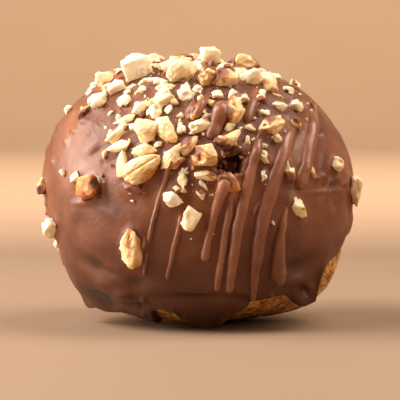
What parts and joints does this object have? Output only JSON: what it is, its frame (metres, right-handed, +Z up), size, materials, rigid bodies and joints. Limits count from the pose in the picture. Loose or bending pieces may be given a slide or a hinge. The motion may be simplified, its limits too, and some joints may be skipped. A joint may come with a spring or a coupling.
{
  "type": "mini doughnut",
  "caption": "Ball-shaped mini doughnut in a milk chocolate coat, with chopped nuts over the top and chocolate drizzle down the front and back. Bare fried dough shows at the base.",
  "frame": {"origin": "on the table, under the middle of the doughnut", "axes": "+Z up, the front with most of the drizzle faces -Y, +X is the doughnut's right as the picture shows it"},
  "size_m": [0.0645, 0.0643, 0.0546],
  "materials": {
    "dough": "fried dough, golden brown, dull with a little oil",
    "chocolate": "set milk chocolate, satin",
    "nut": "chopped nut, cream to roasted orange, dull with a little oil; for the nuts fused to the coat"
  },
  "bodies": {
    "root": {"dough": "dough", "chocolate_coat": "chocolate"}
  },
  "joints": []
}
